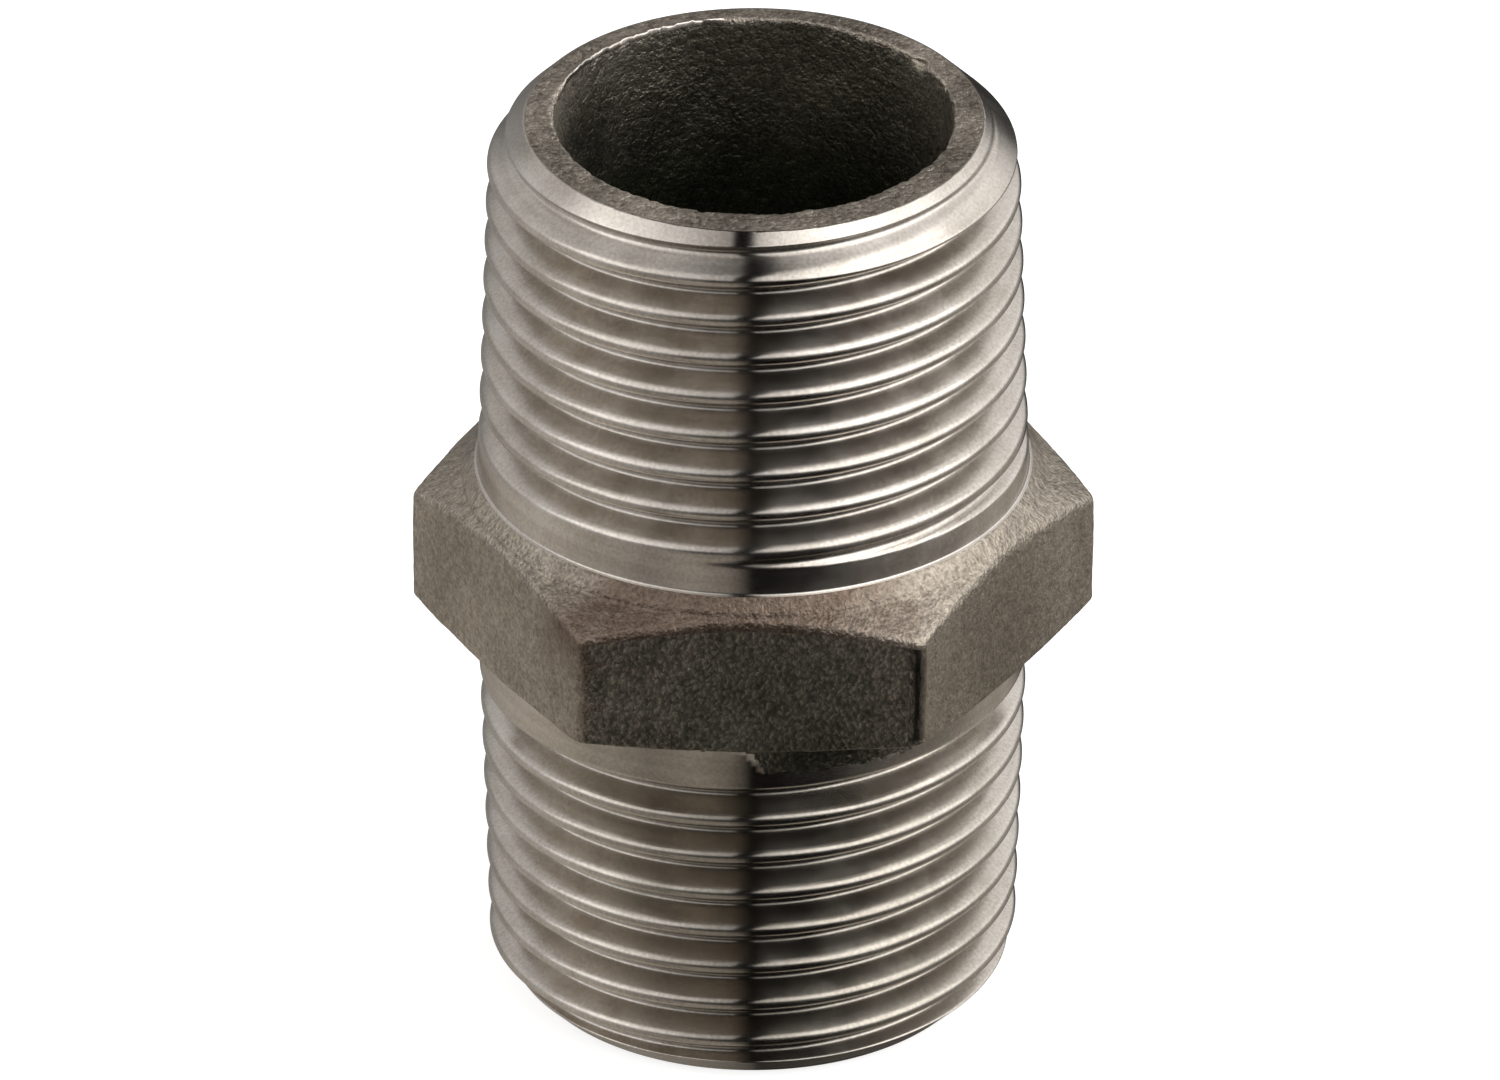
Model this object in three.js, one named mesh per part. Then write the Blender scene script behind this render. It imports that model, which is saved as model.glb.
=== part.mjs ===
// Hex nipple: one cast body with a right-hand taper pipe thread on each end, a spanner hexagon between
// them and a plain bore. Millimetres. The origin is the centre of the lower end face, +Z runs along the
// bore and one flat of the hexagon faces -Y.
import * as THREE from "three";

// Thread: R 3/8 taper pipe thread, 19 threads to the inch, 55 degree form.
const PITCH = 1.337;
const GAUGE_RADIUS = 8.331; // crest radius at the gauge plane
const GAUGE_LENGTH = 6.4; // end face to gauge plane
const TAPER = 1 / 32; // radius gained per millimetre away from the end face
const THREAD_DEPTH = 0.6403 * PITCH;
const FLANK_SLOPE = Math.tan(THREE.MathUtils.degToRad(27.5)); // axial run over radial rise
const ROOT_WIDTH = 0.167 * PITCH; // the flat that stands for the rounded root

// Where each groove crosses the -Y side, as a distance from its own end face, and how far it runs.
const LOWER_GROOVE = { start: 0.98, turns: 7.8 };
const UPPER_GROOVE = { start: 0.52, turns: 8.03 };
const RUN_OUT_TURNS = 0.42; // the tool backs out of the metal over this much of the last turn

// Body
const LENGTH = 29.7;
const BORE_RADIUS = 6.12;
const FACE_RADIUS = 7.07; // outer edge of the flat end faces, where the 45 degree lead-in starts
const NECK_END = 11.85; // the turned neck ends this far from its end face, at the hexagon's fillet

// Hexagon
const FLAT_RADIUS = 18.3 / 2; // half the size across flats
const CORNER_ROUNDING = 0.45;
const FLAT_EDGE = 12.6; // end face to the edge of a flat, at the flat's middle
const CORNER_CONE_SLOPE = Math.tan(THREE.MathUtils.degToRad(24)); // fall towards the corners
const FILLET_STEPS = 4;

// Facets: columns of points round the axis, closer together at each rounded corner of the hexagon.
const FLAT_COLUMNS = 8;

const FULL_TURN = 2 * Math.PI;
const SIXTH_TURN = FULL_TURN / 6;
const ARC_CENTRE = (FLAT_RADIUS - CORNER_ROUNDING) / Math.cos(SIXTH_TURN / 2);
const ARC_HALF_ANGLE = Math.atan2(
  CORNER_ROUNDING * Math.sin(SIXTH_TURN / 2),
  ARC_CENTRE + CORNER_ROUNDING * Math.cos(SIXTH_TURN / 2),
);

// The crest taper as a straight line: radius at the end face, then TAPER per millimetre.
const CREST_AT_FACE = GAUGE_RADIUS - GAUGE_LENGTH * TAPER;
const CHAMFER_END = (CREST_AT_FACE - FACE_RADIUS) / (1 - TAPER);

function crestRadius(depth) {
  return CREST_AT_FACE + depth * TAPER;
}

// One crossing of a thread groove in an axial section, as four [radius, depth] points from the end
// face side to the hexagon side, or null where the lead-in chamfer has already taken it away.
function grooveSection(groove, turn) {
  const backingOut = Math.max(0, 1 - (groove.turns - turn) / RUN_OUT_TURNS);
  const backedOut = backingOut * THREAD_DEPTH;
  // While it backs out, the tool follows the flank of the last crest, so that flank stays put.
  const centre = groove.start + turn * PITCH - backedOut * FLANK_SLOPE;
  const root = crestRadius(centre) - THREAD_DEPTH + backedOut;
  const near = centre - ROOT_WIDTH / 2;
  const far = centre + ROOT_WIDTH / 2;
  if (FACE_RADIUS + far <= root) {
    return null;
  }
  const rise = 1 / FLANK_SLOPE;
  const nearOnChamfer = (root - FACE_RADIUS + near * rise) / (rise + 1);
  const nearOnCrest = (root - CREST_AT_FACE + near * rise) / (rise + TAPER);
  const farOnChamfer = (FACE_RADIUS - root + far * rise) / (rise - 1);
  const farOnCrest = (CREST_AT_FACE - root + far * rise) / (rise - TAPER);
  const farEdge = Math.min(farOnChamfer, farOnCrest);
  let nearEdge = Math.max(nearOnChamfer, nearOnCrest);
  let nearRoot = near;
  if (FACE_RADIUS + near < root) {
    nearEdge = root - FACE_RADIUS;
    nearRoot = nearEdge;
  }
  return [
    [blankRadius(nearEdge), nearEdge],
    [root, nearRoot],
    [root, far],
    [blankRadius(farEdge), farEdge],
  ];
}

// Radius of the turned blank before threading.
function blankRadius(depth) {
  return Math.min(FACE_RADIUS + depth, crestRadius(depth));
}

// The threaded end in an axial section, from the end face to the neck. Every section has the same
// number of points: a crossing that isn't there is folded into the end face edge or the neck edge.
function threadSection(groove, angle) {
  const faceEdge = [FACE_RADIUS, 0];
  const neckEdge = [crestRadius(NECK_END), NECK_END];
  const chamferEdge = [blankRadius(CHAMFER_END), CHAMFER_END];
  const section = [faceEdge];
  for (let lap = -3; lap <= Math.ceil(groove.turns) + 2; lap += 1) {
    const turn = lap + (angle + Math.PI / 2) / FULL_TURN;
    let crossing = turn > groove.turns ? null : grooveSection(groove, turn);
    crossing = crossing ?? Array(4).fill(turn > groove.turns ? neckEdge : faceEdge);
    section.push(between(section.at(-1), chamferEdge, crossing[0]), ...crossing);
  }
  section.push(between(section.at(-1), chamferEdge, neckEdge), neckEdge);
  return section;
}

// The middle point if it lies between the other two in depth, otherwise the nearer of the two.
function between(first, middle, last) {
  if (middle[1] <= first[1]) {
    return first;
  }
  return middle[1] >= last[1] ? last : middle;
}

// Distance from the axis to the hexagon's side at an angle, corners rounded.
function hexagonRadius(angle) {
  const fromCorner = Math.abs(angle - Math.round(angle / SIXTH_TURN) * SIXTH_TURN);
  if (fromCorner >= ARC_HALF_ANGLE) {
    return FLAT_RADIUS / Math.cos(SIXTH_TURN / 2 - fromCorner);
  }
  const across = ARC_CENTRE * Math.sin(fromCorner);
  return ARC_CENTRE * Math.cos(fromCorner) + Math.sqrt(CORNER_ROUNDING ** 2 - across ** 2);
}

// From the neck out to the rim of the hexagon: a concave fillet, then the cone over the corners.
function shoulderSection(angle) {
  const neckRadius = crestRadius(NECK_END);
  const section = [];
  for (let step = 1; step <= FILLET_STEPS; step += 1) {
    const sweep = ((step / FILLET_STEPS) * Math.PI) / 2;
    section.push([
      FLAT_RADIUS - (FLAT_RADIUS - neckRadius) * Math.cos(sweep),
      NECK_END + (FLAT_EDGE - NECK_END) * Math.sin(sweep),
    ]);
  }
  const rim = hexagonRadius(angle);
  section.push([rim, FLAT_EDGE + (rim - FLAT_RADIUS) * CORNER_CONE_SLOPE]);
  return section;
}

// One whole section through the wall, lower end first. The upper end is the lower one given a half turn
// about Y, which keeps the thread right-handed.
function wallSection(angle) {
  const lower = [...threadSection(LOWER_GROOVE, angle), ...shoulderSection(angle)];
  const upper = [...threadSection(UPPER_GROOVE, Math.PI - angle), ...shoulderSection(angle)];
  return [
    [BORE_RADIUS, 0],
    ...lower,
    ...upper.reverse().map(([radius, depth]) => [radius, LENGTH - depth]),
    [BORE_RADIUS, LENGTH],
  ];
}

// Angles of the sections: each corner, its two tangent lines and even steps over the flat between.
function sectionAngles() {
  const angles = [];
  const flatStep = (SIXTH_TURN - 2 * ARC_HALF_ANGLE) / FLAT_COLUMNS;
  for (let corner = 0; corner < 6; corner += 1) {
    const start = corner * SIXTH_TURN;
    angles.push(start);
    for (let column = 0; column <= FLAT_COLUMNS; column += 1) {
      angles.push(start + ARC_HALF_ANGLE + column * flatStep);
    }
  }
  return [...angles, FULL_TURN];
}

// Joins neighbouring sections with triangles. Points that coincide are one point, and a triangle that
// has folded flat is left out, so the body closes on itself.
function bodyGeometry() {
  const indexOf = new Map();
  const positions = [];
  const faces = [];
  const place = (angle, [radius, height]) => {
    const point = [radius * Math.cos(angle), radius * Math.sin(angle), height];
    const key = point.map((value) => Math.round(value * 1e4)).join();
    if (!indexOf.has(key)) {
      indexOf.set(key, indexOf.size);
      positions.push(...point);
    }
    return indexOf.get(key);
  };
  const columns = sectionAngles().map((angle) => wallSection(angle).map((point) => place(angle, point)));
  const addFace = (a, b, c) => {
    if (a !== b && b !== c && c !== a) {
      faces.push(a, b, c);
    }
  };
  for (let column = 1; column < columns.length; column += 1) {
    const left = columns[column - 1];
    const right = columns[column];
    for (let row = 0; row < left.length; row += 1) {
      const next = (row + 1) % left.length;
      addFace(left[row], right[row], right[next]);
      addFace(left[row], right[next], left[next]);
    }
  }
  const geometry = new THREE.BufferGeometry();
  geometry.setAttribute("position", new THREE.Float32BufferAttribute(positions, 3));
  geometry.setIndex(faces);
  return geometry;
}

const stainlessSteel = new THREE.MeshStandardMaterial({ color: 0x9a958d, roughness: 0.45, metalness: 1 });
const nippleBody = new THREE.Mesh(bodyGeometry(), stainlessSteel);
nippleBody.name = "nipple_body";

const group = new THREE.Group();
group.name = "hex_nipple";
group.add(nippleBody);
export default group;
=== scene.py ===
"""Hex nipple in stainless steel: a detailed visual body over the CAD frame, its finishes and its studio."""
import math

import bpy
import numpy as np
from mathutils import Matrix, Vector, noise


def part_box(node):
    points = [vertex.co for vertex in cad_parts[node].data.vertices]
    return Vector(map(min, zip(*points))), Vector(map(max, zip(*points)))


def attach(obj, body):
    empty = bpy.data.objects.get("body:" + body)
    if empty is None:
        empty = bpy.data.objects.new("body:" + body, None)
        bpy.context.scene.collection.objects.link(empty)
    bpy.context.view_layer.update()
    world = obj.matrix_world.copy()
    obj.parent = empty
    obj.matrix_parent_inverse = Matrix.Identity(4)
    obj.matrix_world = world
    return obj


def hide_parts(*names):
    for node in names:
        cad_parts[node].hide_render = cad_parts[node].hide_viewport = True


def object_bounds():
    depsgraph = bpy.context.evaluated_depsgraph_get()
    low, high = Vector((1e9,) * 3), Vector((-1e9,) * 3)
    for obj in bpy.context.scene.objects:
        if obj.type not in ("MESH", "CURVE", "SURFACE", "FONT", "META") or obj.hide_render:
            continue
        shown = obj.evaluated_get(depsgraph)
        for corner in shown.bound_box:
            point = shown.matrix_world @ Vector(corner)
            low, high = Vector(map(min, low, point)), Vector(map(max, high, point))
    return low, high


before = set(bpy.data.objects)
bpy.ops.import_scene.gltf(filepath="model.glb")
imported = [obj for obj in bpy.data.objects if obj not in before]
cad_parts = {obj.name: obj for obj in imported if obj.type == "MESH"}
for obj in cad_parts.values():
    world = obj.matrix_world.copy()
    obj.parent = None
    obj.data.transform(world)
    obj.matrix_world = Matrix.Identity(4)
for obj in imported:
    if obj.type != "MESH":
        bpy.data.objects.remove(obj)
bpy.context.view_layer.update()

MM = 0.001
FULL_TURN = 2 * math.pi
SIXTH_TURN = FULL_TURN / 6

# The body's own sizes, in millimetres. The box of the CAD node gives its length and its size across flats.
BODY_LOW, BODY_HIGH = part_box("nipple_body")
LENGTH = (BODY_HIGH[2] - BODY_LOW[2]) / MM
FLAT_RADIUS = BODY_HIGH[1] / MM

# R 3/8 taper pipe thread: 55 degree form, crests and roots rounded.
PITCH = 1.337
GAUGE_RADIUS = 8.331
GAUGE_LENGTH = 6.4
TAPER = 1 / 32
CREST_AT_FACE = GAUGE_RADIUS - GAUGE_LENGTH * TAPER
FLANK_ANGLE = math.radians(27.5)
ROOT_ROUNDING = 0.1373 * PITCH
CREST_ROUNDING = 0.225  # worn and pickled: rounder than the standard's crest
SHARP_DEPTH = PITCH / 2 / math.tan(FLANK_ANGLE)
THREAD_DEPTH = SHARP_DEPTH - (ROOT_ROUNDING + CREST_ROUNDING) * (1 / math.sin(FLANK_ANGLE) - 1)
LOWER_GROOVE = {"start": 0.98, "turns": 7.8}
UPPER_GROOVE = {"start": 0.52, "turns": 8.03}
RUN_OUT_TURNS = 0.42
CHAMFER_BLEND = 0.06  # width of the rounding where the lead-in chamfer meets the thread

# The body between the threads, and the bore.
BORE_RADIUS = 6.12
FACE_RADIUS = 7.07
NECK_END = 11.85
CORNER_ROUNDING = 0.45
FLAT_EDGE = 12.6
UPPER_CONE_SLOPE = math.tan(math.radians(24))
LOWER_CONE_SLOPE = math.tan(math.radians(11))
UPPER_RIM_WEAR, LOWER_RIM_WEAR = 0.24, 0.12  # reach of the worn edge of a flat to each side of the corner
LONGEST_RIM_WEAR = 0.6  # at most this much of the cone
EDGE_ROUNDING = 0.16  # worn inner edge of the end faces
CORE_SHIFT = 0.27  # the casting core leaned: the bore opens this far towards +Y at the upper end
CORE_MARGIN = 0.05  # the lean ends this far inside the edge of the end face

# A thin burr left standing on the upper edge of the bore, and a chip broken out of it, by angle.
BURR_START, BURR_END = math.radians(97), math.radians(165)
BURR_FADE = math.radians(6)
BURR_HEIGHT = 0.17
BURR_BASE = 0.75  # share of its height that the ragged edge varies about
BURR_WIDTH = 0.13
BRIGHT_BURR = 0.03  # a burr higher than this shows bare metal
CHIP_ANGLE, CHIP_SPAN = math.radians(35), math.radians(3.5)
CHIP_DEPTH = 0.24
EDGE_DAMAGE_ACROSS, EDGE_DAMAGE_DOWN = 0.3, 0.5  # reach of burr and chip over the face, into the bore

# The turning tool missed part of the casting's skin on the lower neck, just under the hexagon.
BAND_MIDDLE, BAND_HALF_WIDTH = -71, 19
BAND_HEIGHT = 0.80
BAND_LEAST = 0.05
BAND_END_SLOPE = 6  # how abruptly the band begins and ends

# The upper shoulder in section: the tool's small corner radius, a raised ring, a short step, the cone.
TOOL_RADIUS = 0.13
UPPER_RING = [(8.60, 11.93), (8.95, 12.32), (9.02, 12.42)]
CREASE_DEPTH, CREASE_MIDDLE = 0.05, math.radians(-118)  # the step is deepest at the left in front
# The lower one: the neck runs on to a nearly square corner under the hexagon.
LOWER_NECK_END = 12.28
LOWER_RING = [(8.62, 12.37), (8.84, 12.44), (8.94, 12.50)]

# Rows of points in one section, and columns of points round the axis.
ROWS_PER_PITCH = 24
LEAD_ROWS_PER_PITCH = 48  # in the laps nearest the end face, up to LEAD_LAPS
LEAD_LAPS = 2
TOOL_ROWS = 6
RING_ROWS = 8
STEP_ROWS = 3
CONE_ROWS = 12
RIM_ROWS = 7
FLAT_ROWS = 34
FACE_ROWS = 12
EDGE_ROWS = 5
BORE_ROWS = 150
CORNER_SPAN = math.radians(3)
CORNER_RUB = math.radians(2.2)  # the corners in front are rubbed smooth this far from the edge
CORNER_COLUMNS = 20
SIDE_COLUMNS = 58
MERGE_STEPS = 1e4  # points that agree to this fraction of a millimetre are one point

# Each face's finish is the index of its material.
TURNED, CAST, DARK, RUBBED, FACE, BORE = range(6)

# The casting's skin: how often slow waves, lumps and grain repeat per millimetre, and for each finish how
# high each stands in millimetres. A limit cuts the tops off lumps or grain, which leaves pits.
WAVES_PER_MM, LUMPS_PER_MM, GRAINS_PER_MM = 0.55, 2.6, 5.5
NO_LIMIT = math.inf
SKIN_RELIEF = {
    DARK: {"waves": 0.035, "lumps": 0.03, "lump_limit": 0.2, "grain": 0.0, "grain_limit": NO_LIMIT},
    CAST: {"waves": 0.035, "lumps": 0.010, "lump_limit": NO_LIMIT, "grain": 0.013, "grain_limit": 0.15},
    RUBBED: {"waves": 0.035, "lumps": 0.010, "lump_limit": NO_LIMIT, "grain": 0.013, "grain_limit": 0.15},
    BORE: {"waves": 0.05, "lumps": 0.012, "lump_limit": NO_LIMIT, "grain": 0.0, "grain_limit": NO_LIMIT},
}
# The end faces are roughest at their worn inner edge.
FACE_LUMPS, FACE_EDGE_LUMPS, FACE_EDGE_REACH, FACE_GRAIN = 0.008, 0.03, 0.35, 0.010

# The materials. How often each texture repeats per metre, then what shapes the casting's skin.
TOOL_LINES, TURNED_CLOUDS, TURNED_GRAINS, CAST_CLOUDS = 3000, 700, 9000, 350
LUMP_TO_GRAIN, LUMP_RELIEF = 2.8, 1.6  # lumps are wider and stand higher than grain
ROUGHNESS_SPREAD = 0.06
GRAIN_BENDING = 0.00022  # breaks up the outlines of rounded grains
DOME_HEIGHT = 0.16  # a rounded grain's height by its size
STAIN_BREAKING = 1.6  # how raggedly the edge of a stain or of painted shade breaks up

# The studio's light by azimuth in degrees, 0 straight towards the camera and positive to its right.
TABLE_LIGHT = [
    (-180, 0.10), (-165, 0.30), (-120, 0.50), (-90, 0.52), (-60, 0.38), (-45, 0.28), (-25, 0.42),
    (-10, 0.30), (-3, 0.10), (0, 0.005), (38, 0.005), (55, 0.10), (90, 0.20), (115, 0.42), (144, 0.40),
    (156, 0.04), (180, 0.04),
]
TABLE_WARMTH = (1, 0.93, 0.835)
BELT_LIGHT = [
    (-180, 0.08), (-150, 0.30), (-90, 0.52), (-50, 0.36), (-25, 0.09), (-8, 0.04), (-1, 0.003),
    (28, 0.003), (45, 0.06), (70, 0.34), (120, 0.42), (142, 0.30), (154, 0.03), (180, 0.03),
]
# The belt's upper edge and the foot of the softboxes, by height (the sine of the elevation) plus one.
BELT_TOP = [
    (-90, 1.10), (-40, 1.20), (-12, 1.30), (-2, 1.38), (22, 1.32), (38, 1.02), (75, 0.90),
]
BOX_FOOT = [
    (-90, 1.40), (-40, 1.50), (-12, 1.55), (-2, 1.62), (22, 1.56), (38, 1.40), (75, 1.30),
]
BELT_FOOT, TABLE_TOP = -0.20, -0.42
# The softboxes by distance across from the gap between them, negative to the left.
BOX_LIGHT = [
    (-1.0, 1.1), (-0.75, 1.70), (-0.55, 1.20), (-0.35, 0.90), (-0.14, 0.60), (-0.070, 0.5),
    (-0.053, 0.003), (0.053, 0.003), (0.070, 0.85), (0.14, 1.1), (0.3, 1.75), (0.5, 2.3), (0.85, 2.4),
    (1.0, 2.0),
]
GAP_SLANT, GAP_OFFSET = -0.075, 0.0145
GAP_WIDENING, GAP_WIDEST = 18.0, 3.6  # the gap opens towards the back
BACK_LIGHT = (0.27, 0.255, 0.235)

# The camera, where the photo's stood: far off with a long lens. Angles in degrees.
CAMERA_LENS, CAMERA_SENSOR = 621.9, 36
CAMERA_DISTANCE, CAMERA_REACH = 0.8, 10
CAMERA_ELEVATION, CAMERA_TURN, CAMERA_ROLL = 29.92, 0.57, 0.12
AIM_RIGHT, AIM_UP = -0.095, -0.003
FLOOR_HALF_SIZE = 2


def smooth_max(a, b, width):
    """The larger of two surfaces, with the corner between them rounded over a width."""
    overlap = np.clip(1 - np.abs(a - b) / width, 0, None)
    return np.maximum(a, b) + width * overlap ** 2 / 4


def smooth_min(a, b, width):
    return -smooth_max(-a, -b, width)


def crest_radius(depth):
    return CREST_AT_FACE + depth * TAPER


def thread_cut(offset):
    """Depth of the full thread form below its crest, at an axial offset from the groove's middle."""
    offset = np.abs(offset)
    root_tangent = ROOT_ROUNDING * math.cos(FLANK_ANGLE)
    root_arc = ROOT_ROUNDING * (1 - math.sin(FLANK_ANGLE))
    root = THREAD_DEPTH - (ROOT_ROUNDING - np.sqrt(np.clip(ROOT_ROUNDING ** 2 - offset ** 2, 0, None)))
    flank = THREAD_DEPTH - root_arc - (offset - root_tangent) / math.tan(FLANK_ANGLE)
    from_crest = PITCH / 2 - offset
    crest = CREST_ROUNDING - np.sqrt(np.clip(CREST_ROUNDING ** 2 - from_crest ** 2, 0, None))
    cut = np.where(offset < root_tangent, root, flank)
    cut = np.where(from_crest < CREST_ROUNDING * math.cos(FLANK_ANGLE), crest, cut)
    return np.where(from_crest < 0, 0, cut)


def thread_radius(groove, angle, depth):
    """Radius of the threaded end at an angle and a distance from its end face."""
    cut = np.zeros_like(depth)
    for lap in range(-2, math.ceil(groove["turns"]) + 2):
        turn = lap + (angle + math.pi / 2) / FULL_TURN
        backing_out = np.clip(1 - (groove["turns"] - turn) / RUN_OUT_TURNS, 0, 1)
        backed_out = backing_out * THREAD_DEPTH
        centre = groove["start"] + turn * PITCH - backed_out * math.tan(FLANK_ANGLE)
        cut = np.maximum(cut, thread_cut(depth - centre) - backed_out)
    chamfer = FACE_RADIUS + depth
    return smooth_min(crest_radius(depth) - cut, chamfer, CHAMFER_BLEND)


def thread_rows(groove, angle, neck_end):
    """The threaded end in section, its rows following the helix, as radius and depth."""
    depths = [np.zeros_like(angle)]
    at_seam = angle == angle.max()
    for lap in range(-2, math.ceil(groove["turns"]) + 3):
        rows = LEAD_ROWS_PER_PITCH if lap < LEAD_LAPS else ROWS_PER_PITCH
        turn = lap + (angle + math.pi / 2) / FULL_TURN
        for row in range(rows):
            place = (row + 0.5) / rows
            if lap == LEAD_LAPS - 1:
                # Where this lap runs into the coarser one, its rows join in pairs so that the mesh closes.
                place = np.where(at_seam, (row // 2 + 0.5) / ROWS_PER_PITCH, place)
            depths.append(groove["start"] + (turn + place - 0.5) * PITCH)
    depths.append(np.full_like(angle, neck_end))
    depths = np.clip(np.array(depths), 0, neck_end)
    return thread_radius(groove, angle[None, :], depths), depths


def hexagon_radius(angle):
    from_corner = np.abs(angle - np.round(angle / SIXTH_TURN) * SIXTH_TURN)
    arc_centre = (FLAT_RADIUS - CORNER_ROUNDING) / math.cos(SIXTH_TURN / 2)
    across = arc_centre * np.sin(from_corner)
    over_centre = np.sqrt(np.clip(CORNER_ROUNDING ** 2 - across ** 2, 0, None))
    on_arc = arc_centre * np.cos(from_corner) + over_centre
    on_flat = FLAT_RADIUS / np.cos(SIXTH_TURN / 2 - from_corner)
    arc_half_angle = math.atan2(
        CORNER_ROUNDING * math.sin(SIXTH_TURN / 2),
        arc_centre + CORNER_ROUNDING * math.cos(SIXTH_TURN / 2),
    )
    return np.where(from_corner < arc_half_angle, on_arc, on_flat)


def bend(start, corner, end, rows):
    """Points of a smooth bend from start to end that is tangent to both lines through the corner."""
    t = (np.arange(1, rows + 1) / rows)[:, None]
    return tuple(
        (1 - t) ** 2 * start[axis] + 2 * t * (1 - t) * corner[axis] + t ** 2 * end[axis] for axis in (0, 1)
    )


def straight(start, end, rows):
    t = (np.arange(1, rows + 1) / rows)[:, None]
    return tuple((1 - t) * start[axis] + t * end[axis] for axis in (0, 1))


def shoulder_rows(angle, neck_end, ring, slope, rim_wear):
    """From the neck over the tool radius, the ring, the step, the cone and the worn rim, to the flat."""
    ones = np.ones_like(angle)
    neck = (crest_radius(neck_end) * ones, neck_end * ones)
    ring_start, ring_end, cone_start = ([value * ones for value in point] for point in ring)
    rim = hexagon_radius(angle)
    rim_depth = FLAT_EDGE + (rim - FLAT_RADIUS) * slope
    cone_length = np.hypot(rim - cone_start[0], rim_depth - cone_start[1])
    worn = np.minimum(rim_wear / cone_length, LONGEST_RIM_WEAR)
    cone_end = (rim - worn * (rim - cone_start[0]), rim_depth - worn * (rim_depth - cone_start[1]))
    parts = [
        bend(neck, (neck[0], neck[1] + TOOL_RADIUS / 2), ring_start, TOOL_ROWS),
        straight(ring_start, ring_end, RING_ROWS),
        straight(ring_end, cone_start, STEP_ROWS),
        straight(cone_start, cone_end, CONE_ROWS),
        bend(cone_end, (rim, rim_depth), (rim, rim_depth + rim_wear), RIM_ROWS),
    ]
    return np.concatenate([part[0] for part in parts]), np.concatenate([part[1] for part in parts])


def section_angles():
    """Angles of the columns, closer together over each rounded corner of the hexagon."""
    angles = []
    for corner in range(6):
        start = corner * SIXTH_TURN - CORNER_SPAN
        angles += [start + 2 * CORNER_SPAN * step / CORNER_COLUMNS for step in range(CORNER_COLUMNS)]
        side = SIXTH_TURN - 2 * CORNER_SPAN
        angles += [start + 2 * CORNER_SPAN + side * step / SIDE_COLUMNS for step in range(SIDE_COLUMNS)]
    return np.array(angles + [angles[0] + FULL_TURN])


def face_rows(angle):
    """The worn edge of the bore and the flat ring round it, from the bore outwards, as radius and depth."""
    ones = np.ones_like(angle)
    edge = bend(
        (BORE_RADIUS * ones, EDGE_ROUNDING * ones), (BORE_RADIUS * ones, 0 * ones),
        ((BORE_RADIUS + EDGE_ROUNDING) * ones, 0 * ones), EDGE_ROWS)
    ring = straight(
        ((BORE_RADIUS + EDGE_ROUNDING) * ones, 0 * ones), (FACE_RADIUS * ones, 0 * ones), FACE_ROWS)
    return np.concatenate([edge[0], ring[0]])[:-1], np.concatenate([edge[1], ring[1]])[:-1]


def ripple(angle, *waves):
    """A ragged line round the axis, from (height, waves per turn) pairs with whole numbers of waves."""
    return sum(height * np.sin(angle * count + count) for height, count in waves)


def burr_height(angle):
    """How far the burr stands up from the edge of the upper bore."""
    turn = np.mod(angle, FULL_TURN)
    middle, half = (BURR_START + BURR_END) / 2, (BURR_END - BURR_START) / 2
    standing = np.clip((half - np.abs(turn - middle)) / BURR_FADE, 0, 1)
    ragged = BURR_BASE + ripple(turn, (0.18, 37), (0.14, 83), (0.1, 161))
    return BURR_HEIGHT * standing * np.clip(ragged, 0, None)


def chip_depth(angle):
    """How far the chip and the small nicks of the upper bore edge are broken out."""
    turn = np.mod(angle, FULL_TURN)
    chip = np.clip(1 - ((turn - CHIP_ANGLE) / CHIP_SPAN) ** 2, 0, None)
    return CHIP_DEPTH * chip + np.clip(ripple(turn, (0.02, 29), (0.02, 67), (0.015, 113)), 0, None)


def cast_band(angle):
    """How far the casting's skin reaches down the lower neck from the hexagon, round the axis."""
    across = np.abs(np.mod(angle - math.radians(BAND_MIDDLE), FULL_TURN))
    across = np.minimum(across, FULL_TURN - across) / math.radians(BAND_HALF_WIDTH)
    ragged = ripple(angle, (0.04, 31), (0.03, 73), (0.03, 151), (0.02, 233))
    return BAND_LEAST + ragged + BAND_HEIGHT * np.clip((1 - across) * BAND_END_SLOPE, 0, 1)


def all_over(rows, finish):
    return np.full(rows.shape, finish)


def angle_from_front(angle):
    """The angle from the middle of the front flat, between minus and plus half a turn."""
    return np.mod(angle + math.pi / 2 + math.pi, FULL_TURN) - math.pi


def flat_finish(angle, height):
    """The front flat is dark, its left edge wandering, its right corner rubbed. The others are cast."""
    from_front = angle_from_front(angle)
    along = height + 0.02 * np.sin(height * 9 + 1)
    wander = 1 + 0.4 * np.sin(along * 5) + 0.3 * np.sin(along * 17)
    left_limit = -SIXTH_TURN / 2 + CORNER_RUB * wander
    right_limit = SIXTH_TURN / 2 - CORNER_RUB
    finish = np.where((from_front > left_limit) & (from_front < right_limit), DARK, CAST)
    rubbed = (from_front >= right_limit) & (from_front < SIXTH_TURN / 2 + CORNER_RUB / 2)
    return np.where(rubbed, RUBBED, finish)


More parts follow.
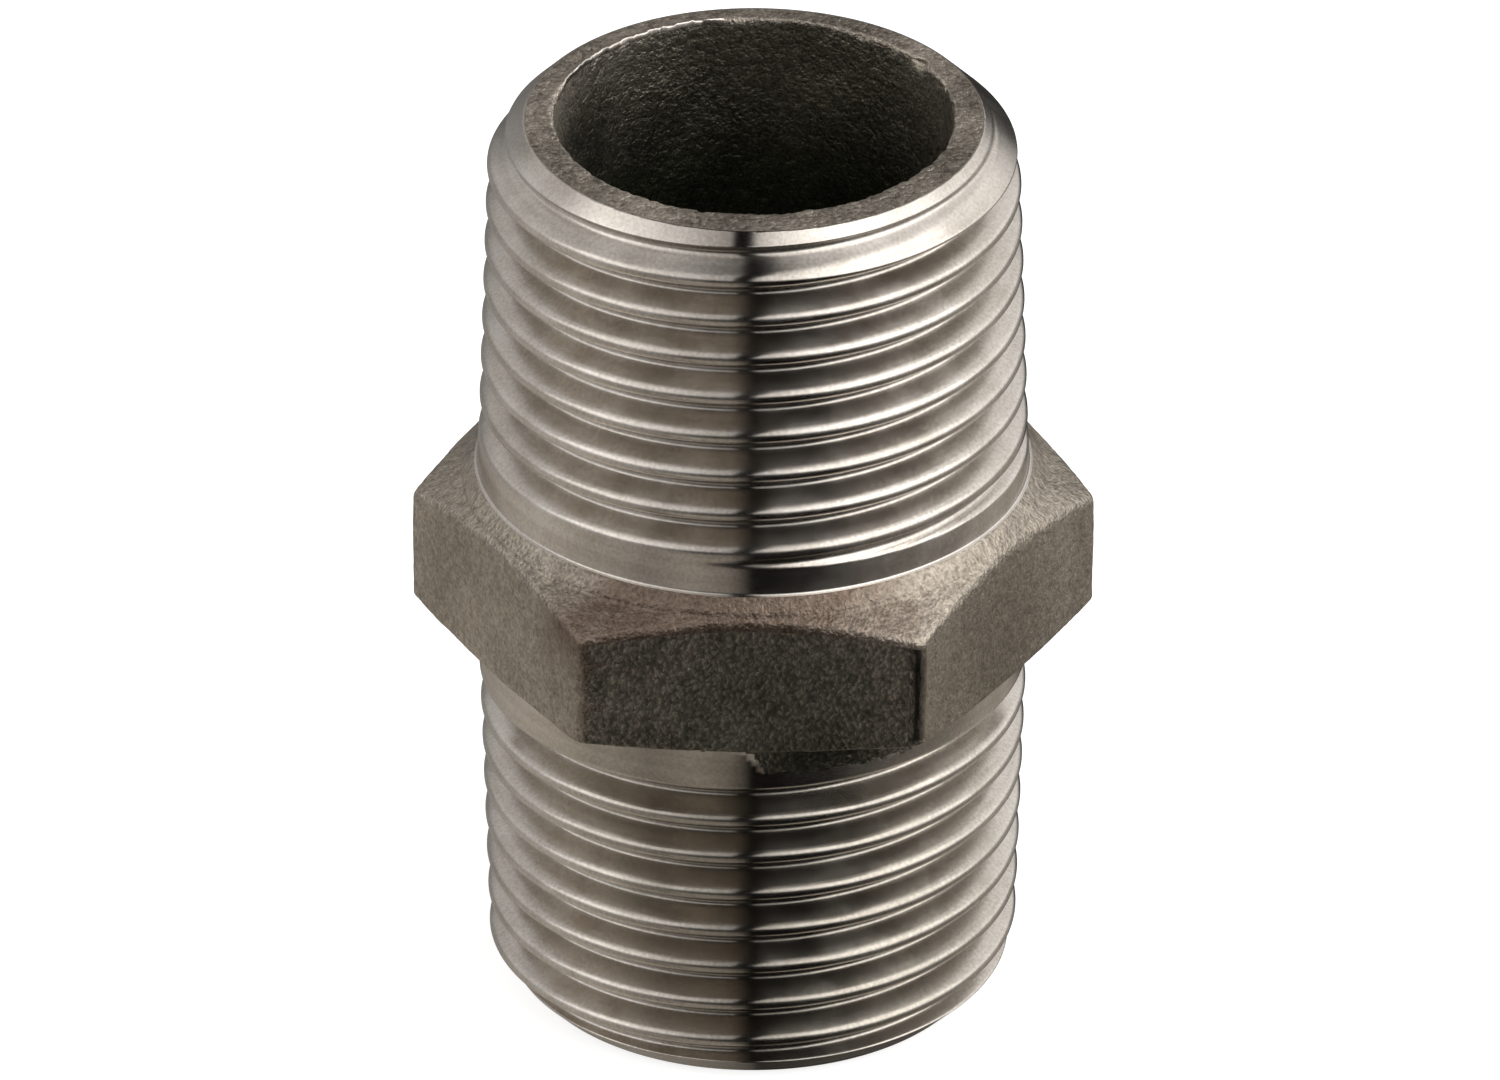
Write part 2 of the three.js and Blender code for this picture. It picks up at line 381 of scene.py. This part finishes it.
def shoulders(angle):
    """Both sides of the hexagon with its flats between them, as parts of radius, height and finish."""
    under_radius, under_depth = shoulder_rows(
        angle, LOWER_NECK_END, LOWER_RING, LOWER_CONE_SLOPE, LOWER_RIM_WEAR)
    crease = CREASE_DEPTH * np.clip(np.cos(angle - CREASE_MIDDLE), 0, 1) ** 2
    upper_ring = [*UPPER_RING[:2], (UPPER_RING[2][0], UPPER_RING[2][1] + crease)]
    upper_radius, upper_depth = shoulder_rows(
        angle, NECK_END, upper_ring, UPPER_CONE_SLOPE, UPPER_RIM_WEAR)
    upper_finish = all_over(upper_radius, CAST)
    upper_finish[:TOOL_ROWS] = TURNED
    in_front = np.abs(angle_from_front(angle)) < SIXTH_TURN / 2
    under_finish = np.where(in_front, DARK, CAST) * np.ones_like(under_radius, dtype=int)
    flat_start, flat_end = under_depth[-1], LENGTH - upper_depth[-1]
    flat_steps = np.arange(1, FLAT_ROWS)[:, None] / FLAT_ROWS
    flat_height = flat_start + (flat_end - flat_start) * flat_steps
    return [
        (under_radius, under_depth, under_finish),
        (hexagon_radius(angle) * np.ones_like(flat_height), flat_height, flat_finish(angle, flat_height)),
        (upper_radius[::-1], LENGTH - upper_depth[::-1], upper_finish[::-1]),
    ]


def upper_face_and_bore(angle):
    """The upper end face and the bore, with the burr and the chip on the edge between them."""
    radius, depth = face_rows(angle)
    near_edge = np.clip(1 - (radius - BORE_RADIUS) / EDGE_DAMAGE_ACROSS, 0, 1)
    on_burr = (burr_height(angle) > BRIGHT_BURR) & (radius < BORE_RADIUS + BURR_WIDTH)
    finish = np.where(on_burr, TURNED, FACE)
    radius = radius + near_edge * chip_depth(angle)
    depth = depth - near_edge ** 2 * (burr_height(angle) - 0.5 * chip_depth(angle))
    steps = np.arange(0, BORE_ROWS + 1)[:, None] / BORE_ROWS
    height = LENGTH - EDGE_ROUNDING - (LENGTH - 2 * EDGE_ROUNDING) * steps * np.ones_like(angle)
    near_top = np.clip(1 - (LENGTH - height) / EDGE_DAMAGE_DOWN, 0, 1) ** 2
    bore_radius = BORE_RADIUS + near_top * chip_depth(angle)
    height = height + near_top * (burr_height(angle) - 0.5 * chip_depth(angle))
    return [
        (radius[::-1], LENGTH - depth[::-1], finish[::-1]),
        (bore_radius, height, all_over(height, BORE)),
    ]


def body_rows(angle):
    """The whole wall in section, lower bore edge first: radius, height and finish of every point."""
    lower_radius, lower_depth = thread_rows(LOWER_GROOVE, angle, LOWER_NECK_END)
    upper_radius, upper_depth = thread_rows(UPPER_GROOVE, math.pi - angle, NECK_END)
    face_radius, face_depth = face_rows(angle)
    lower_finish = np.where(lower_depth > LOWER_NECK_END - cast_band(angle), DARK, TURNED)
    parts = [
        (face_radius, face_depth, all_over(face_radius, FACE)),
        (lower_radius, lower_depth, lower_finish),
        *shoulders(angle),
        (upper_radius[::-1], LENGTH - upper_depth[::-1], all_over(upper_radius, TURNED)),
        *upper_face_and_bore(angle),
    ]
    return tuple(np.concatenate([part[index] for part in parts]) for index in range(3))


def roughen(points, finish, normals):
    """Moves the points of the casting's skin in and out, in millimetres: pits, lumps and slow waves."""
    heights = np.zeros(len(points))
    for index in np.flatnonzero(finish != TURNED):
        place = Vector(points[index])
        waves = noise.noise(place * WAVES_PER_MM)
        lumps = noise.noise(place * LUMPS_PER_MM)
        grain = noise.noise(place * GRAINS_PER_MM)
        if finish[index] == FACE:
            from_edge = (math.hypot(*points[index][:2]) - BORE_RADIUS) / FACE_EDGE_REACH
            inner = 1 - min(max(from_edge, 0), 1)
            heights[index] = (FACE_LUMPS + FACE_EDGE_LUMPS * inner) * (lumps + waves) + FACE_GRAIN * grain
        else:
            relief = SKIN_RELIEF[int(finish[index])]
            heights[index] = (
                relief["waves"] * waves
                + relief["lumps"] * min(lumps, relief["lump_limit"])
                + relief["grain"] * min(grain, relief["grain_limit"])
            )
    return points + normals * heights[:, None]


def lean_core(points):
    """Leans the bore towards +Y, more towards the upper end, as a shifted casting core leaves it."""
    radius = np.hypot(points[..., 0], points[..., 1])
    outer = FACE_RADIUS - CORE_MARGIN
    within = np.clip((outer - radius) / (outer - BORE_RADIUS), 0, 1)
    points[..., 1] += CORE_SHIFT * within * points[..., 2] / LENGTH
    return points


def body_mesh():
    """One closed mesh of the body, in metres, with the finish of each face as its material."""
    angle = section_angles()
    radii, heights, finish = body_rows(angle)
    points = lean_core(np.stack([radii * np.cos(angle), radii * np.sin(angle), heights], axis=-1))
    keys = np.round(points.reshape(-1, 3) * MERGE_STEPS).astype(np.int64)
    keys = (keys[:, 0] * 1_000_003 + keys[:, 1]) * 1_000_003 + keys[:, 2]
    _, first, index = np.unique(keys, return_index=True, return_inverse=True)
    vertices = points.reshape(-1, 3)[first]
    grid = index.reshape(radii.shape)
    above = np.roll(grid, -1, axis=0)
    corners = np.stack([grid[:, :-1], grid[:, 1:], above[:, 1:], above[:, :-1]], axis=-1).reshape(-1, 4)
    faces, face_finish = [], []
    for quad, kind in zip(corners.tolist(), finish[:, :-1].ravel().tolist()):
        loop = [v for place, v in enumerate(quad) if v != quad[place - 1]]
        if len(set(loop)) >= 3:
            faces.append(loop)
            face_finish.append(kind)
    mesh = bpy.data.meshes.new("nipple_steel")
    mesh.from_pydata(vertices.tolist(), [], faces)
    normals = np.empty(len(vertices) * 3)
    mesh.vertex_normals.foreach_get("vector", normals)
    skinned = roughen(vertices, finish.ravel()[first], normals.reshape(-1, 3))
    mesh.vertices.foreach_set("co", (skinned * MM).ravel())
    mesh.polygons.foreach_set("material_index", face_finish)
    mesh.polygons.foreach_set("use_smooth", [True] * len(faces))
    mesh.update()
    return mesh


def add(tree, kind, inputs=None, **settings):
    """Adds a node, sets its properties, and fills its inputs with values or links."""
    node = tree.nodes.new(kind)
    for name, value in settings.items():
        setattr(node, name, value)
    for key, value in (inputs or {}).items():
        if isinstance(value, bpy.types.NodeSocket):
            tree.links.new(value, node.inputs[key])
        else:
            node.inputs[key].default_value = value
    return node


def maths(tree, operation, *values):
    return add(tree, "ShaderNodeMath", dict(enumerate(values)), operation=operation).outputs[0]


def ramp(tree, factor, stops, interpolation="LINEAR"):
    """A colour ramp through (position, grey or colour) stops."""
    node = add(tree, "ShaderNodeValToRGB", {"Fac": factor})
    node.color_ramp.interpolation = interpolation
    elements = node.color_ramp.elements
    while len(elements) < len(stops):
        elements.new(1.0)
    for element, (position, _) in zip(elements, stops):
        element.position = position
    for element, (_, value) in zip(elements, stops):
        element.color = (*value, 1) if isinstance(value, tuple) else (value, value, value, 1)
    return node.outputs["Color"]


def noise_texture(tree, place, scale, detail):
    return add(tree, "ShaderNodeTexNoise", {"Vector": place, "Scale": scale, "Detail": detail})


def new_material(name):
    material = bpy.data.materials.new(name)
    material.use_nodes = True
    tree = material.node_tree
    tree.nodes.clear()
    shader = add(tree, "ShaderNodeBsdfPrincipled")
    add(tree, "ShaderNodeOutputMaterial", {"Surface": shader.outputs[0]})
    return material, tree, shader


def tint(tree, tone, factor, colour):
    """Multiplies a tone by a colour where the factor says so."""
    node = add(tree, "ShaderNodeMix", {"Factor": factor, 6: tone, 7: (*colour, 1)}, data_type="RGBA")
    node.blend_type = "MULTIPLY"
    return node.outputs[2]


def stained(tree, tone, place, cloud, stains):
    """Lays broken-edged darker patches over a tone, for stain marks and for painted shade: centre and reach
    in millimetres, and colour.
    """
    for centre, reach, colour in stains:
        centre = [value * MM for value in centre]
        away = add(tree, "ShaderNodeVectorMath", {0: place, 1: centre}, operation="DISTANCE")
        near = maths(tree, "MULTIPLY_ADD", away.outputs["Value"], -1 / (reach * MM), 1.0)
        broken = maths(tree, "MULTIPLY_ADD", cloud, STAIN_BREAKING, -STAIN_BREAKING / 2)
        factor = ramp(tree, maths(tree, "ADD", near, broken), [(0.0, 0.0), (0.5, 1.0)])
        tone = tint(tree, tone, factor, colour)
    return tone


def pitted(tree, tone, bump, place, grain_vector, size):
    """Rounded grains of a size in millimetres, with dark gaps between them, over a tone and a bump."""
    bent = add(
        tree, "ShaderNodeMix", {"Factor": GRAIN_BENDING, 4: place, 5: grain_vector}, data_type="VECTOR")
    cells = add(tree, "ShaderNodeTexVoronoi", {"Vector": bent.outputs[1], "Scale": 1 / (size * MM)})
    from_grain = cells.outputs["Distance"]
    dome = ramp(tree, from_grain, [(0.0, 1.0), (0.75, 0.0)], "EASE")
    bump = add(tree, "ShaderNodeBump", {
        "Height": dome, "Strength": 0.5, "Distance": DOME_HEIGHT * size * MM, "Normal": bump}).outputs[0]
    gap = ramp(tree, from_grain, [(0.3, 0.0), (0.7, 0.8)])
    return tint(tree, tone, gap, (0.5, 0.5, 0.5)), bump


def turned_steel():
    """Machined thread, chamfer and neck: satin, its highlights drawn out along the axis by tool lines."""
    material, tree, shader = new_material("turned_stainless")
    place = add(tree, "ShaderNodeTexCoord").outputs["Object"]
    x, y, z = add(tree, "ShaderNodeSeparateXYZ", {0: place}).outputs
    outwards = add(tree, "ShaderNodeCombineXYZ", {0: x, 1: y}).outputs[0]
    radius = add(tree, "ShaderNodeVectorMath", {0: outwards}, operation="LENGTH").outputs["Value"]
    section = add(tree, "ShaderNodeCombineXYZ", {0: radius, 1: z, 2: maths(tree, "MULTIPLY", x, 0.02)})
    lines = noise_texture(tree, section.outputs[0], TOOL_LINES, 2).outputs["Fac"]
    cloud = noise_texture(tree, place, TURNED_CLOUDS, 4).outputs["Fac"]
    grain = noise_texture(tree, place, TURNED_GRAINS, 3).outputs["Fac"]
    mixed = maths(tree, "MULTIPLY_ADD", lines, 0.25, maths(tree, "MULTIPLY", cloud, 0.4))
    mixed = maths(tree, "MULTIPLY_ADD", grain, 0.35, mixed)
    tone = ramp(tree, mixed, [(0.38, (0.47, 0.42, 0.365)), (0.62, (0.68, 0.63, 0.575))])
    # Painted shade: darkens the lower thread in front, right of the middle, and the lower neck on the left
    # just under the hexagon.
    tone = stained(tree, tone, place, cloud, [
        ((2.5, -7.6, 5.5), 8, (0.72, 0.72, 0.69)),
        ((-3.5, -8.0, 10.5), 4.5, (0.82, 0.82, 0.80)),
    ])
    roughness = ramp(tree, cloud, [(0.3, 0.155), (0.7, 0.205)])
    bump = add(tree, "ShaderNodeBump", {"Height": lines, "Strength": 0.35, "Distance": 0.01 * MM})
    tangent = add(tree, "ShaderNodeTangent", direction_type="RADIAL", axis="Z")
    tree.links.new(tone, shader.inputs["Base Color"])
    tree.links.new(roughness, shader.inputs["Roughness"])
    tree.links.new(bump.outputs[0], shader.inputs["Normal"])
    tree.links.new(tangent.outputs[0], shader.inputs["Tangent"])
    shader.inputs["Metallic"].default_value = 1
    shader.inputs["Anisotropic"].default_value = 1.0
    shader.inputs["Anisotropic Rotation"].default_value = 0.25
    return material


def cast_steel(name, light, dark, grain_size, roughness, relief, pits=0.0, stains=(), deep=None):
    """Blasted casting skin: matte and granular. Grain size and relief are in millimetres. It may also
    have pits, as gaps between rounded grains of that size, stain and painted-shade patches, and painted
    shade mid-bore."""
    material, tree, shader = new_material(name)
    place = add(tree, "ShaderNodeTexCoord").outputs["Object"]
    scale = 1 / (grain_size * MM)
    lumps = noise_texture(tree, place, scale / LUMP_TO_GRAIN, 3).outputs["Fac"]
    grain_noise = noise_texture(tree, place, scale, 3)
    grain, grain_vector = grain_noise.outputs["Fac"], grain_noise.outputs["Color"]
    cloud = noise_texture(tree, place, CAST_CLOUDS, 3).outputs["Fac"]
    mixed = maths(tree, "MULTIPLY_ADD", grain, 0.45, maths(tree, "MULTIPLY", lumps, 0.3))
    mixed = maths(tree, "MULTIPLY_ADD", cloud, 0.25, mixed)
    tone = ramp(tree, mixed, [(0.39, dark), (0.61, light)])
    tone = stained(tree, tone, place, cloud, stains)
    # Painted shade: the bore darkens away from both ends towards the middle of its length.
    if deep:
        z = add(tree, "ShaderNodeSeparateXYZ", {0: place}).outputs["Z"]
        from_middle = maths(tree, "ABSOLUTE", maths(tree, "MULTIPLY_ADD", z, 1 / MM, -LENGTH / 2))
        inside = ramp(tree, maths(tree, "MULTIPLY", from_middle, 2 / LENGTH), [(0.62, 1.0), (1.02, 0.0)])
        tone = tint(tree, tone, inside, deep)
    uneven_roughness = ramp(tree, cloud, [
        (0.3, roughness - ROUGHNESS_SPREAD), (0.7, roughness + ROUGHNESS_SPREAD)])
    bump = add(tree, "ShaderNodeBump", {
        "Height": lumps, "Strength": 0.8, "Distance": relief * LUMP_RELIEF * MM}).outputs[0]
    bump = add(tree, "ShaderNodeBump", {
        "Height": grain, "Strength": 0.8, "Distance": relief * MM, "Normal": bump}).outputs[0]
    if pits:
        tone, bump = pitted(tree, tone, bump, place, grain_vector, pits)
    tree.links.new(tone, shader.inputs["Base Color"])
    tree.links.new(uneven_roughness, shader.inputs["Roughness"])
    tree.links.new(bump, shader.inputs["Normal"])
    shader.inputs["Metallic"].default_value = 1
    return material


def build_world():
    """Two softboxes overhead with a narrow gap between them, a dark belt at the horizon, a grey table."""
    world = bpy.data.worlds.new("studio")
    bpy.context.scene.world = world
    world.use_nodes = True
    tree = world.node_tree
    tree.nodes.clear()
    direction = add(tree, "ShaderNodeTexCoord").outputs["Generated"]
    x, y, z = add(tree, "ShaderNodeSeparateXYZ", {0: direction}).outputs
    azimuth = maths(tree, "ARCTAN2", x, maths(tree, "MULTIPLY", y, -1.0))
    around = maths(tree, "MULTIPLY_ADD", azimuth, 1 / FULL_TURN, 0.5)

    def blend(factor, first, second):
        node = add(tree, "ShaderNodeMix", {"Factor": factor}, data_type="RGBA")
        for socket, value in ((node.inputs[6], first), (node.inputs[7], second)):
            if isinstance(value, bpy.types.NodeSocket):
                tree.links.new(value, socket)
            else:
                socket.default_value = (*value, 1)
        return node.outputs[2]

    def round_the_axis(levels):
        return ramp(tree, around, [(degrees / 360 + 0.5, level) for degrees, level in levels])

    def between(value, low, high):
        """How far a value has come from low to high, eased at both ends."""
        span = maths(tree, "SUBTRACT", high, low)
        share = maths(tree, "DIVIDE", maths(tree, "SUBTRACT", value, low), span)
        return ramp(tree, share, [(0, 0.0), (1, 1.0)], "EASE")

    table = round_the_axis([
        (degrees, tuple(level * warmth for warmth in TABLE_WARMTH)) for degrees, level in TABLE_LIGHT])
    belt = round_the_axis(BELT_LIGHT)

    from_gap = maths(tree, "ADD", maths(tree, "MULTIPLY_ADD", y, GAP_SLANT, GAP_OFFSET), x)
    widening = maths(tree, "MINIMUM", maths(tree, "MULTIPLY", y, GAP_WIDENING), GAP_WIDEST)
    from_gap = maths(tree, "DIVIDE", from_gap, maths(tree, "MAXIMUM", widening, 1.0))
    boxes = ramp(
        tree, maths(tree, "MULTIPLY_ADD", from_gap, 0.5, 0.5),
        [((across + 1) / 2, level) for across, level in BOX_LIGHT])

    # Straight behind, the softboxes give way to a dim back wall.
    behind = between(y, 0.58, 0.78)
    beside = between(maths(tree, "ABSOLUTE", x), 0.12, 0.32)
    behind = maths(tree, "MULTIPLY", behind, maths(tree, "SUBTRACT", 1.0, beside))
    boxes = blend(behind, boxes, BACK_LIGHT)

    over_belt = between(maths(tree, "ADD", z, 1.0), round_the_axis(BELT_TOP), round_the_axis(BOX_FOOT))
    under_belt = between(z, BELT_FOOT, TABLE_TOP)
    sky = blend(over_belt, blend(under_belt, belt, table), boxes)
    background = add(tree, "ShaderNodeBackground", {"Color": sky, "Strength": 1.0})
    add(tree, "ShaderNodeOutputWorld", {"Surface": background.outputs[0]})


def build_camera():
    camera = bpy.data.objects.new("camera", bpy.data.cameras.new("camera"))
    bpy.context.scene.collection.objects.link(camera)
    camera.data.sensor_width = CAMERA_SENSOR
    camera.data.lens = CAMERA_LENS
    camera.data.clip_end = CAMERA_REACH
    elevation, turn, roll = (
        math.radians(value) for value in (CAMERA_ELEVATION, CAMERA_TURN, CAMERA_ROLL))
    target = Vector((0, 0, LENGTH / 2 * MM))
    outward = Vector((
        math.cos(elevation) * math.sin(turn), -math.cos(elevation) * math.cos(turn), math.sin(elevation)))
    right = Vector((0, 0, 1)).cross(outward).normalized()
    up = outward.cross(right)
    aim = target + right * AIM_RIGHT * MM + up * AIM_UP * MM
    pose = Matrix((right, up, outward)).transposed() @ Matrix.Rotation(roll, 3, "Z")
    camera.matrix_world = Matrix.Translation(aim + outward * CAMERA_DISTANCE) @ pose.to_4x4()
    bpy.context.scene.camera = camera


def build_floor():
    """A pale sheet that touches the lowest point of the rough lower end face."""
    mesh = bpy.data.meshes.new("floor")
    half = FLOOR_HALF_SIZE
    mesh.from_pydata(
        [(-half, -half, 0), (half, -half, 0), (half, half, 0), (-half, half, 0)], [], [(0, 1, 2, 3)])
    floor = bpy.data.objects.new("floor", mesh)
    bpy.context.scene.collection.objects.link(floor)
    material, _, shader = new_material("floor_paper")
    shader.inputs["Base Color"].default_value = (0.6, 0.6, 0.6, 1)
    shader.inputs["Roughness"].default_value = 0.9
    shader.inputs["Emission Color"].default_value = (1, 1, 1, 1)
    shader.inputs["Emission Strength"].default_value = 0.75
    mesh.materials.append(material)
    floor.visible_glossy = False
    floor.location.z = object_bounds()[0][2]


build_camera()
build_world()

body = bpy.data.objects.new("nipple_steel", body_mesh())
bpy.context.scene.collection.objects.link(body)
# In the order of the finishes.
for finish_material in (
    turned_steel(),
    cast_steel(
        "cast_stainless_skin", (0.53, 0.465, 0.385), (0.255, 0.22, 0.18), 0.11, 0.45, 0.05,
        # The first patch makes the upper shoulder in front darker and browner. The second is painted shade
        # over the flat to the right of the front one, darkest low on it.
        stains=[
            ((-1.0, -9.3, 17.4), 6.8, (0.45, 0.385, 0.36)),
            ((7.6, -5.6, 13.4), 4.6, (0.72, 0.72, 0.70)),
        ]),
    cast_steel(
        "pitted_stainless_skin", (0.44, 0.385, 0.31), (0.21, 0.195, 0.16), 0.13, 0.45, 0.03, pits=0.165,
        # Both patches are painted shade: one on the lower neck just under the hexagon in front, one over
        # the bottom of the front flat and the cone under it.
        stains=[
            ((2.6, -8.2, 11.5), 2.6, (0.5, 0.52, 0.5)),
            ((0.8, -9.2, 13.4), 3.6, (0.74, 0.78, 0.76)),
        ]),
    cast_steel("rubbed_corner", (0.44, 0.39, 0.325), (0.26, 0.23, 0.19), 0.11, 0.28, 0.015),
    cast_steel(
        "worn_end_face", (0.60, 0.53, 0.45), (0.175, 0.15, 0.122), 0.12, 0.42, 0.07,
        stains=[((0.5, 6.8, 29.7), 4.0, (0.80, 0.80, 0.80))]),
    cast_steel(
        # Painted shade in the bore: darker towards its middle, and over its back wall below the upper edge.
        "cast_bore", (0.80, 0.71, 0.60), (0.28, 0.255, 0.215), 0.10, 0.42, 0.05, deep=(0.24, 0.28, 0.24),
        stains=[((0.8, 6.3, 26.0), 7.0, (0.48, 0.50, 0.47))]),
):
    body.data.materials.append(finish_material)
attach(body, "root")
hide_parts("nipple_body")
build_floor()

bpy.context.scene.view_settings.view_transform = "Standard"
